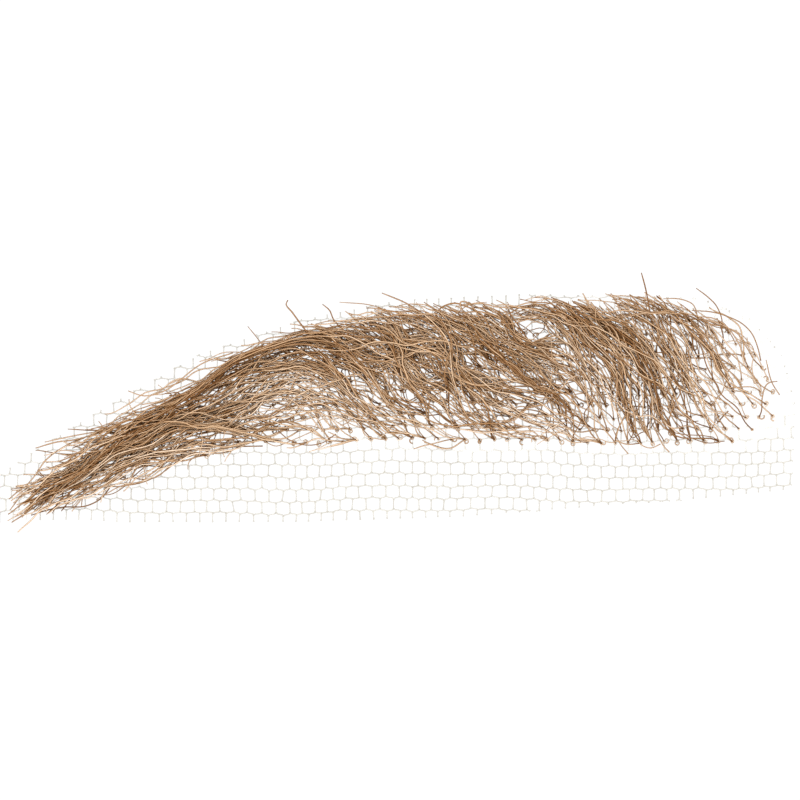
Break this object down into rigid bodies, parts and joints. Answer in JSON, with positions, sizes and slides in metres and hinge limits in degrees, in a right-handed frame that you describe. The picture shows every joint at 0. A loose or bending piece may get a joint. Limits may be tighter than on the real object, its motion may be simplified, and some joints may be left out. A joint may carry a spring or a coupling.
{
  "type": "hand-tied false eyebrow",
  "caption": "False eyebrow: brown hair knotted into a strip of hexagonal lace net, full at the front end and swept along an arch into a thin tail.",
  "frame": {"origin": "middle of the strip of net, on its underside, which is glued to the skin", "axes": "+X towards the full front end of the brow, +Y towards the forehead, +Z out of the net"},
  "size_m": [0.066, 0.0191, 0.004],
  "materials": {
    "net_thread": "fine matt thread",
    "brown_hair": "satin hair"
  },
  "bodies": {
    "root": {"lace_net": "net_thread", "brow_hair": "brown_hair"}
  },
  "joints": []
}
